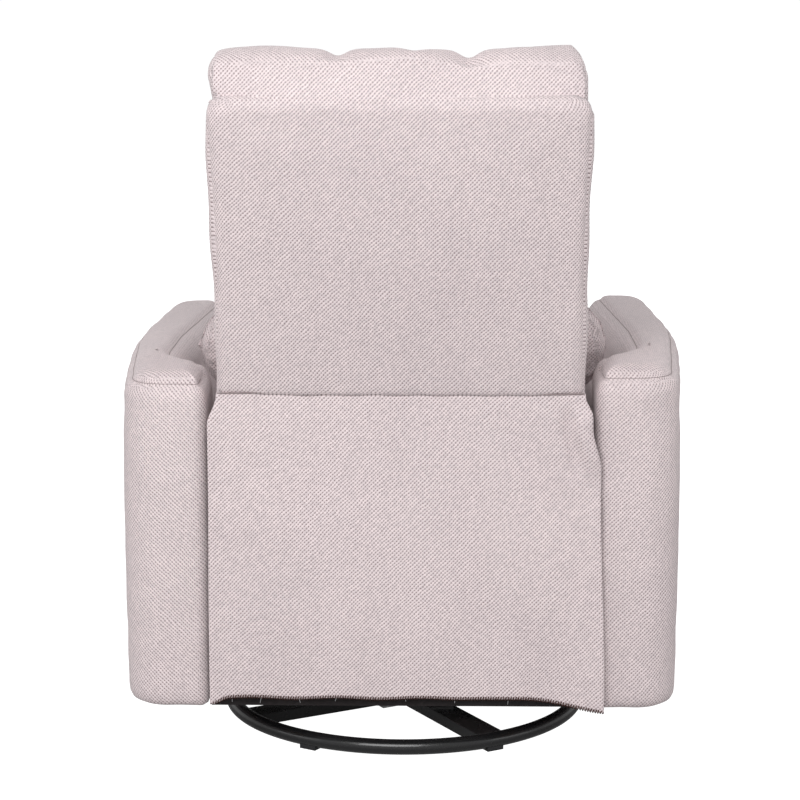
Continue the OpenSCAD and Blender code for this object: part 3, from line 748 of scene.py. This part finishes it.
FLAP_TOP = back(0, 0.0195, PANEL_LOW + 0.002)
FLAP_DROP = 0.437
FLAP_Y = 0.3125                         # where the flap hangs, below its slope
FOLD_X, FOLD_PITCH = 0.088, 0.118       # the flap's soft folds: x of one, and the distance between two
HEM_LEFT, HEM_RIGHT = 0.2645, -0.2820


def fold(x):
    """1 on the crest of a soft fold, -1 between two."""
    return math.cos(2 * math.pi * (x - FOLD_X) / FOLD_PITCH)


def hem_z(x):
    """Height of the flap's lower edge: gently wavy, dropping at its corners."""
    z = 0.1015 + 0.0021 * fold(x) * (1 - 0.5 * smooth((-x - 0.02) / 0.12))
    z -= 0.0075 * smooth((x - 0.238) / 0.026)
    z -= 0.0190 * smooth((-x - 0.165) / 0.125) ** 1.3
    return z


def flap_side(side, drop):
    """Edge of the flap at a distance below the seam."""
    at_seam = 0.2512
    if side > 0:
        return at_seam + (0.0125 * smooth((drop - 0.004) / 0.040)) + 0.0022 * smooth((drop - 0.10) / 0.30)
    near_seam = 0.0105 * smooth((drop - 0.002) / 0.030) + 0.0125 * smooth((drop - 0.045) / 0.06)
    return -(at_seam + near_seam + 0.0085 * smooth((drop - 0.12) / 0.30))


def build_flap():
    nx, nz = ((150, 120))
    verts, faces, us = [], [], []
    for j in range(nz + 1):
        t = j / nz
        for i in range(nx + 1):
            s = 2 * i / nx - 1
            drop = FLAP_DROP * t
            left, right = flap_side(1, drop), flap_side(-1, drop)
            x = right + (left - right) * (i / nx)
            z = FLAP_TOP.z + (hem_z(x) - FLAP_TOP.z) * t
            y = FLAP_TOP.y + (FLAP_Y - FLAP_TOP.y) * smooth(t / 0.35)
            y -= 0.0015 * bell(t, 0.006)
            y += 0.0030 * math.sin(math.pi * t) * (1 - s * s)
            y += 0.0016 * noise.noise(Vector((x * 5, 1.3, z * 2.4))) * smooth(t / 0.1)
            y += 0.0032 * smooth((t - 0.55) / 0.45) * fold(x)
            # tuck under the right edge near its top, and a loose lower corner
            tuck = smooth((drop - 0.012) / 0.03) * smooth((0.125 - drop) / 0.05)
            y += 0.010 * tuck * bell(x - right - 0.012, 0.014)
            y -= 0.006 * tuck * bell(x - right - 0.032, 0.010)
            y += 0.0035 * bell(x - left, 0.012) * smooth(drop / 0.05)
            y += 0.0030 * bell(x - right, 0.010) * smooth((drop - 0.1) / 0.1)
            verts.append((x, y, z))
            us.append(x)
    w = nx + 1
    for j in range(nz):
        for i in range(nx):
            faces.append((j * w + i, (j + 1) * w + i, (j + 1) * w + i + 1, j * w + i + 1))
    o = make("rear_flap_cloth", verts, faces, M_FABRIC)
    weave_from(o, us)
    s = o.modifiers.new("thick", "SOLIDIFY")
    s.thickness = 0.0018
    s.offset = 0
    return o


flap = build_flap()
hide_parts("rear_flap")

# overlocked hem: a thread that loops over the flap's lower edge
HEM_STEP, STEPS_PER_LOOP = 0.00058, 6
loops = []
x, k = HEM_LEFT, 0
while x > HEM_RIGHT:
    a = 2 * math.pi * k / STEPS_PER_LOOP
    loops.append(Vector((x, 0.3142 + 0.0032 * fold(x) + 0.0022 * math.cos(a),
                         hem_z(x) + 0.0012 + 0.0026 * math.sin(a))))
    x -= HEM_STEP
    k += 1
hem = tube("flap_overlock", loops[:: (1)], 0.00075, M_OVERLOCK, 5)
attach(hem, "carriage")

# seam between panel and flap: a dark thread that draws the painted shade of the joint
seam_half, seam_cuts = 0.249, 120
seam_pts = []
for x in [seam_half - 2 * seam_half * i / seam_cuts for i in range(seam_cuts + 1)]:
    y = FLAP_TOP.y + 0.0012 + 0.0008 * noise.noise(Vector((x * 30, 0, 0)))
    seam_pts.append(Vector((x, y, FLAP_TOP.z + 0.0006 * math.sin(x * 40))))
seam = tube("panel_seam", seam_pts, lambda t: 0.0007 + 0.0004 * abs(math.sin(9 * t)), M_SEAM_SHADE, 6)
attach(seam, "backrest")
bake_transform(flap)


# ---- lumbar pillow ----

PILLOW_HALF = 0.304
PILLOW_Y, PILLOW_Z = -0.214, 0.2125     # its middle, in the backrest's frame


def rounded_ring(half_x, half_y, power_x, power_y, count):
    """Points round a rectangle with very round corners: (x, y) from its middle."""
    out = []
    for i in range(count):
        c, d = math.cos(2 * math.pi * i / count), math.sin(2 * math.pi * i / count)
        x, y = math.copysign(abs(c) ** power_x, c), math.copysign(abs(d) ** power_y, d)
        out.append((half_x * x, half_y * y))
    return out


pillow = inflate("lumbar_pillow_cover", "lumbar_pillow", voxel=0.0075, pressure=4.5, cap=0.020, shrink=0.008)
half_length = max(abs(v.co.x) for v in pillow.data.vertices)
for v in pillow.data.vertices:
    v.co.x *= PILLOW_HALF / half_length
wrinkle(pillow, 0.0035, 9, 1.0)
# gathers round both ends
for v in pillow.data.vertices:
    end = smooth((abs(v.co.x) - 0.20) / 0.09)
    p = to_back(v.co)
    a = math.atan2(p.z - PILLOW_Z, p.y - PILLOW_Y)
    v.co -= v.normal * 0.0022 * end * (0.5 + 0.5 * math.cos(14 * a))
finish_soft(pillow)
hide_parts("lumbar_pillow")
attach(pillow, "lumbar_pillow")
piping = [back(x, PILLOW_Y, PILLOW_Z + z) for x, z in rounded_ring(PILLOW_HALF, 0.10, 0.55, 0.75, 160)]
pillow_seam = tube("lumbar_pillow_seam", on_surface(pillow, piping, 0.0006), 0.0014, M_FABRIC, 8, closed=True)
weave_by_side(pillow_seam)
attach(pillow_seam, "lumbar_pillow")


# ---- seat cushion ----

seat = inflate("seat_cushion_cover", "seat_cushion", voxel=0.009, pressure=5.0, cap=0.016, shrink=0.006)
TOP_SEAM_Z, LOW_SEAM_Z = 0.438, 0.368
for v in seat.data.vertices:
    up = smooth((v.co.z - 0.40) / 0.05)
    crown = (1 - (v.co.x / 0.30) ** 2) * (1 - ((v.co.y + 0.11) / 0.34) ** 2)
    v.co.z += 0.007 * up * max(-0.4, crown) - 0.004 * up
groove(seat, lambda co: co.z - TOP_SEAM_Z, 0.0035, 0.005)
groove(seat, lambda co: co.z - LOW_SEAM_Z, 0.0025, 0.005)
wrinkle(seat, 0.0045, 6, 9.0, lambda co, n: smooth((co.z - 0.36) / 0.05))
wrinkle(seat, 0.0015, 25, 2.0)
finish_soft(seat)
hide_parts("seat_cushion")
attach(seat, "carriage")
seam_y = -0.115                         # middle of the seat, fore and aft
# the top seam's dark thread is painted shade of its groove
around = [Vector((x, seam_y + y, TOP_SEAM_Z)) for x, y in rounded_ring(0.32, 0.335, 0.4, 0.4, 220)]
seat_seam = tube("seat_top_seam", on_surface(seat, around, 0.0002), 0.0011, M_SEAM_SHADE, 6, closed=True)
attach(seat_seam, "carriage")


# ---- footrest pad ----

pad = inflate("footrest_pad_cover", "footrest_pad", voxel=0.0075, pressure=4.0, cap=0.010, shrink=0.005)
groove(pad, lambda co: co.y + 0.416, 0.002, 0.004)
for xc in (0.095, -0.095):
    groove(pad, lambda co, xc=xc: co.x - xc, 0.007, 0.009, lambda co, n: n.y < -0.3)
wrinkle(pad, 0.003, 8, 4.0)
finish_soft(pad)
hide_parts("footrest_pad")
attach(pad, "footrest")


# ---- staples along the rear rail ----

STAPLE_X = (0.236, 0.196, 0.142, 0.090, -0.006, -0.076, -0.150, -0.214)
STAPLE_HALF = (0.0003, 0.005)           # half of its width and of its length
STAPLE_PROUD = 0.0006
BOX_FACES = ((3, 2, 1, 0), (4, 5, 6, 7), (0, 1, 5, 4), (1, 2, 6, 5), (2, 3, 7, 6), (3, 0, 4, 7))

rail_low, rail_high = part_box("rear_bottom_rail")
verts, faces = [], []
for i, x in enumerate(STAPLE_X):
    middle = Vector((x, rail_high[1] + 0.0004, rail_low[2] + 0.010 + 0.002 * math.sin(5 * i)))
    tilt = 0.35 * math.sin(3.7 * i)
    for proud in (0, STAPLE_PROUD):
        for way_x, way_z in ((-1, -1), (1, -1), (1, 1), (-1, 1)):
            dx, dz = way_x * STAPLE_HALF[0], way_z * STAPLE_HALF[1]
            verts.append(middle + Vector((dx * math.cos(tilt) + dz * math.sin(tilt), proud,
                                          dz * math.cos(tilt) - dx * math.sin(tilt))))
    faces += [tuple(8 * i + k for k in face) for face in BOX_FACES]
staples = make("rail_staples", verts, faces, M_ZINC, False)
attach(staples, "carriage")


# ---- stage, light, camera ----

FLOOR_HALF = 12
floor_corners = [(FLOOR_HALF * x, FLOOR_HALF * y, 0) for x, y in ((-1, -1), (1, -1), (1, 1), (-1, 1))]
floor = make("floor", floor_corners, [(0, 1, 2, 3)], None)
m, nt, b = new_material("pale_floor")
co = add(nt, "ShaderNodeTexCoord").outputs["Object"]
pale = mix_colour(nt, noise_node(nt, co, 3, 2), (0.36, 0.36, 0.36), (0.38, 0.38, 0.38))
nt.links.new(pale, b.inputs["Base Color"])
b.inputs["Roughness"].default_value = 0.7
b.inputs["Specular IOR Level"].default_value = 0.1
b.inputs["Emission Color"].default_value = (1, 1, 1, 1)
# the floor shows nearly white, and throws little light on the chair
seen_directly = add(nt, "ShaderNodeLightPath").outputs["Is Camera Ray"]
glow = math_node(nt, "ADD", math_node(nt, "MULTIPLY", seen_directly, 0.99), 0.10)
nt.links.new(glow, b.inputs["Emission Strength"])
floor.data.materials.clear()
floor.data.materials.append(m)

scene.view_settings.view_transform = "Standard"
world = bpy.data.worlds.new("studio")
scene.world = world
world.use_nodes = True
wt = world.node_tree
sky = wt.nodes["Background"]
sky.inputs[0].default_value = (1.0, 1.0, 1.0, 1)
sky.inputs[1].default_value = 0.55
backdrop = add(wt, "ShaderNodeBackground")
backdrop.inputs[0].default_value = (1.0, 1.0, 1.0, 1)
backdrop.inputs[1].default_value = 1.02
pick = add(wt, "ShaderNodeMixShader")
path = add(wt, "ShaderNodeLightPath")
wt.links.new(path.outputs["Is Camera Ray"], pick.inputs[0])
wt.links.new(sky.outputs[0], pick.inputs[1])
wt.links.new(backdrop.outputs[0], pick.inputs[2])
wt.links.new(pick.outputs[0], wt.nodes["World Output"].inputs[0])


def area(name, loc, aim, size, power):
    """A soft box light at loc that looks at aim."""
    l = bpy.data.lights.new(name, "AREA")
    l.shape = "RECTANGLE"
    l.size, l.size_y = size
    l.energy = power
    o = bpy.data.objects.new(name, l)
    o.location = loc
    o.rotation_euler = (Vector(aim) - Vector(loc)).to_track_quat("-Z", "Y").to_euler()
    scene.collection.objects.link(o)


area("key", (0.4, 2.7, 1.95), (0, 0.2, 0.75), (2.0, 1.4), 55)
area("fill_left", (3.0, 1.2, 1.4), (0, 0, 0.5), (1.6, 2.0), 12)
area("fill_right", (-3.0, 1.2, 1.4), (0, 0, 0.5), (1.6, 2.0), 12)

EYE = (-0.055, 3.32, 1.054)             # behind the chair, looking down 10 degrees
lens = bpy.data.cameras.new("camera")
lens.sensor_width = 36
lens.lens = 101.1
camera = bpy.data.objects.new("camera", lens)
scene.collection.objects.link(camera)
camera.matrix_world = (Matrix.Translation(EYE) @ Matrix.Rotation(math.radians(181.06), 4, "Z")
                       @ Matrix.Rotation(math.radians(80), 4, "X"))
scene.camera = camera
